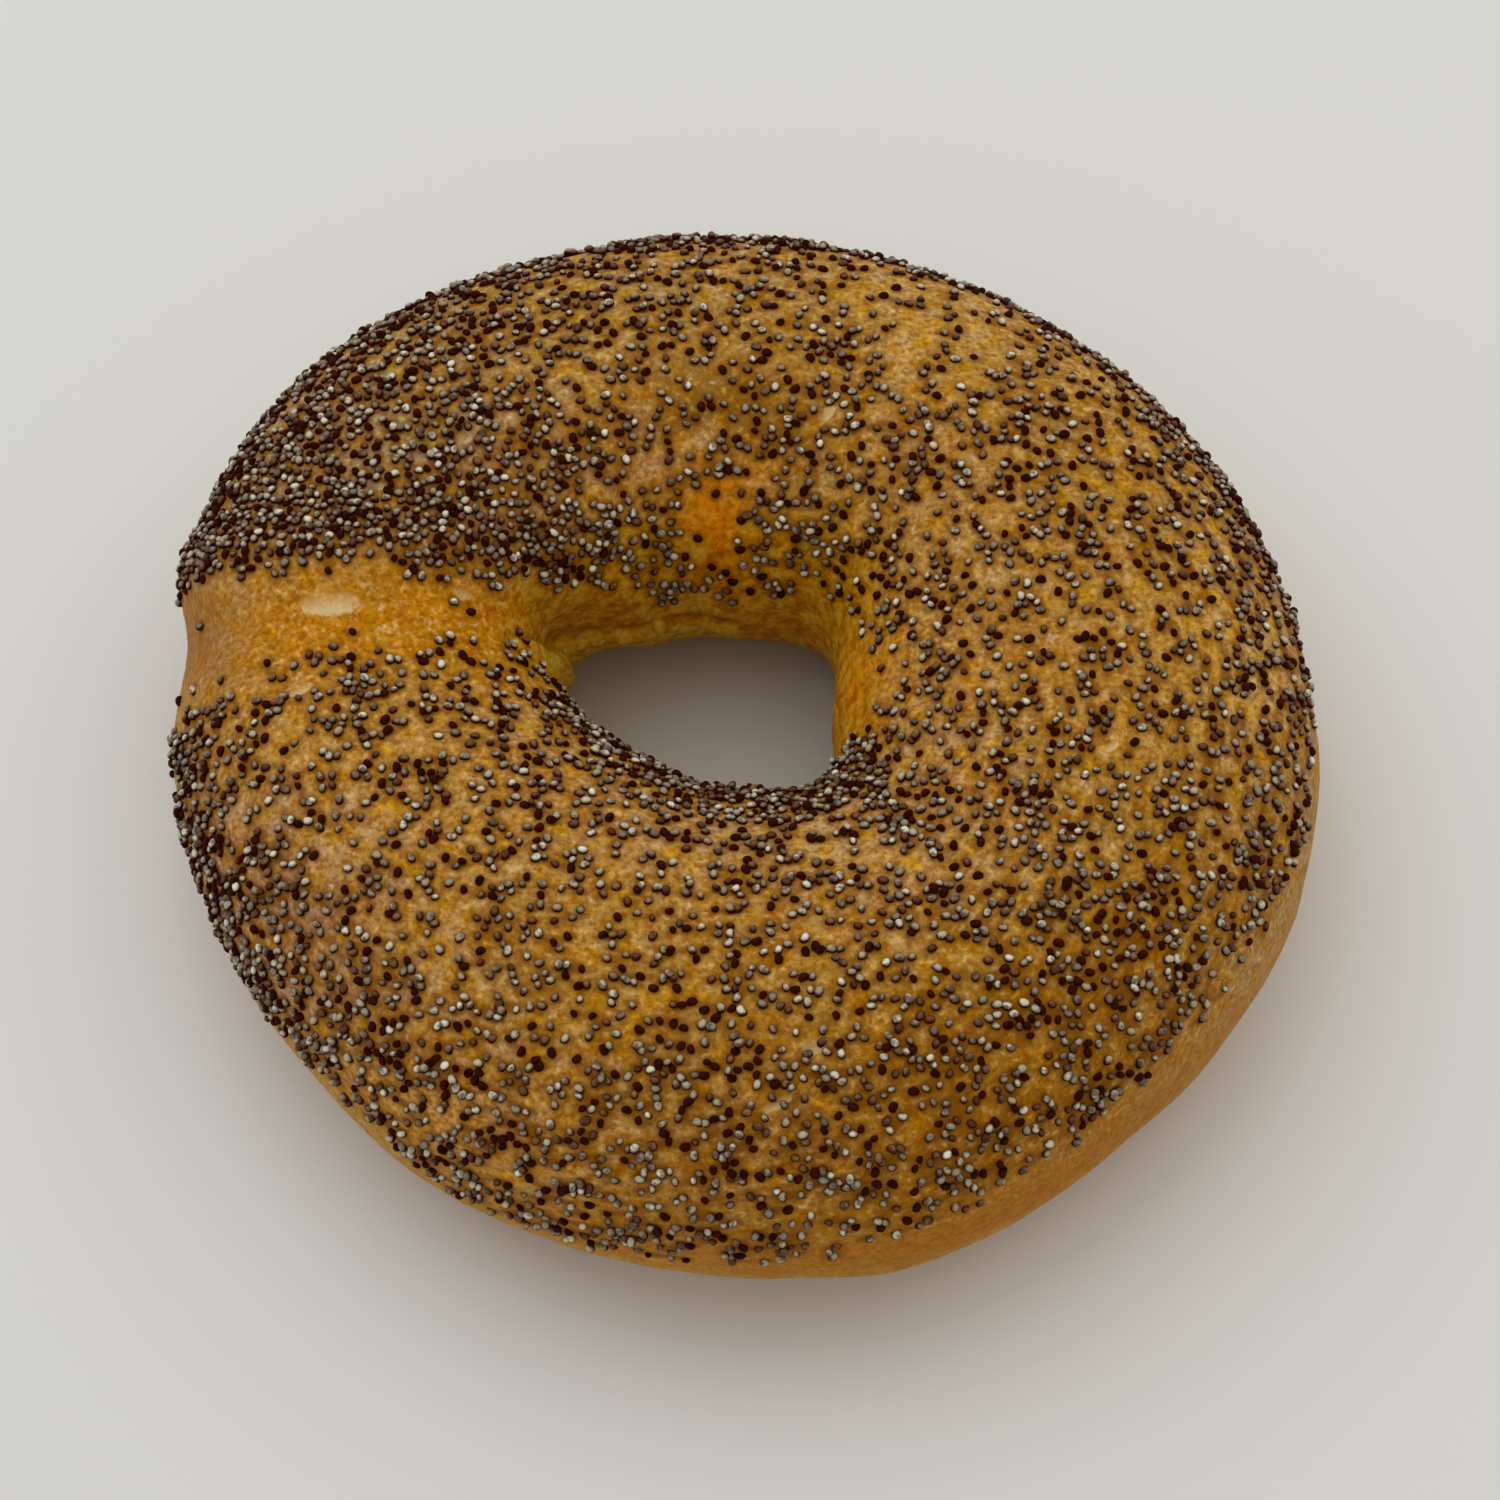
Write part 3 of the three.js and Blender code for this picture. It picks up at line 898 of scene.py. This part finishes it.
def finishCrust(grain):
    finish, tree, shader = newFinish("bakedCrust")
    look = crustFinish
    mottle, freckles, blotches, clouds, ripe = [
        grainValue(tree, grain, *look[name])
        for name in ("mottle", "freckles", "blotches", "clouds", "ripe")]
    flecks = readAttribute(tree, "flecks")
    blistered = readAttribute(tree, "blistered")

    def ranged(value, name):
        return stretch(tree, value, *look[name])

    def times(first, second):
        return mathNode(tree, "MULTIPLY", first, second)

    def plus(first, second):
        return mathNode(tree, "ADD", first, second)

    color = readAttribute(tree, "bakeAndShade", "Color")
    speckle = times(ranged(mottle, "speckle"), ranged(flecks, "speckleFlecked"))
    for share, name in (
            (ranged(clouds, "cloudAmber"), "amber"),
            (speckle, "amber"),
            (times(ranged(blotches, "blisterOlive"), blistered), "olive"),
            (times(ranged(blotches, "blisterAmber"), blistered), "amber"),
            (times(ranged(freckles, "paleFlecks"), flecks), "fleck")):
        color = mixColor(tree, share, color, look[name])
    bright = plus(ranged(mottle, "brightMottle"), ranged(blotches, "brightBlotches"))
    bright = plus(bright, times(ranged(freckles, "brightFreckles"), flecks))
    color = vectorNode(tree, "SCALE", {0: color, 3: bright})
    # Golden here, tan there: the blue varies far more than the rest
    hue = addNode(tree, "ShaderNodeCombineXYZ", {
        "X": 1.0, "Y": ranged(ripe, "ripeGreen"), "Z": ranged(ripe, "ripeBlue")}).outputs[0]
    color = vectorNode(tree, "MULTIPLY", {0: color, 1: hue})
    # Glaze and painted shade: the crust browner beside each seed
    seedGlazeAndShade = times(readAttribute(tree, "glazeAndShade"), look["seedGlazeAndShadeShare"])
    color = mixColor(tree, seedGlazeAndShade, color, look["seedGlazeAndShade"])
    for scar in crumple["scars"]:
        color = mixColor(tree, scarShare(tree, mottle, *scar), color, look["scar"])
    tree.links.new(color, shader.inputs["Base Color"])
    shader.inputs["Roughness"].default_value = look["roughness"]
    shader.inputs["Specular IOR Level"].default_value = look["sheen"]
    shader.inputs["Specular Tint"].default_value = (*look["sheenTint"], 1)
    height = plus(mottle, times(blotches, look["blotchRelief"]))
    roughen(tree, shader, height, look["reliefStrength"], look["reliefDepth"])
    return finish


seedFinish = {
    "blotAndShade": (0.046, 0.006, 0.0),  # brown that shows in blots, and painted shade low on each seed's side away from the lamps
    "blots": (0.75, 0.0), "blotted": (0.52, 0.40, 0, 0.75),
    "paintedShadeLift": (0.45, 0.14),
    "roughness": 0.5,
    "pits": (0.18, 0.0), "pitStrength": 0.6, "pitDepth": 0.05,
}


def finishSeeds(kind, grain):
    finish, tree, shader = newFinish(kind["name"] + "_skin")
    look = seedFinish
    blots = grainValue(tree, grain, *look["blots"])
    color = mixColor(tree, readAttribute(tree, "tone"), kind["dark"], kind["light"])
    color = mixColor(tree, stretch(tree, blots, *look["blotted"]), color, look["blotAndShade"])
    # Painted shade: each seed darker low on the side away from the lamps
    paintedShade = stretch(tree, readAttribute(tree, "lift"), *look["paintedShadeLift"])
    color = mixColor(tree, paintedShade, color, look["blotAndShade"])
    tree.links.new(color, shader.inputs["Base Color"])
    sheen = stretch(tree, paintedShade, 0, 1, kind["gloss"], 0)
    tree.links.new(sheen, shader.inputs["Specular IOR Level"])
    shader.inputs["Roughness"].default_value = look["roughness"]
    pits = grainValue(tree, grain, *look["pits"])
    roughen(tree, shader, pits, look["pitStrength"], look["pitDepth"])
    return finish


bpy.context.scene.view_settings.view_transform = "Standard"
addCamera()
addTable()
addLight()
print("camera, table and light are set")

crust = addCrust()
print("crust shaped:", len(crust.data.polygons) * 2, "triangles")
seeds = addSeeds(crust)

grain = makeGrain()
crust.data.materials.append(finishCrust(grain))
for piece, kind in zip(seeds, seedKinds):
    piece.data.materials.append(finishSeeds(kind, grain))
for piece in [crust, *seeds]:
    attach(piece, "root")
    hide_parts("bagel")
print("finishes are on")
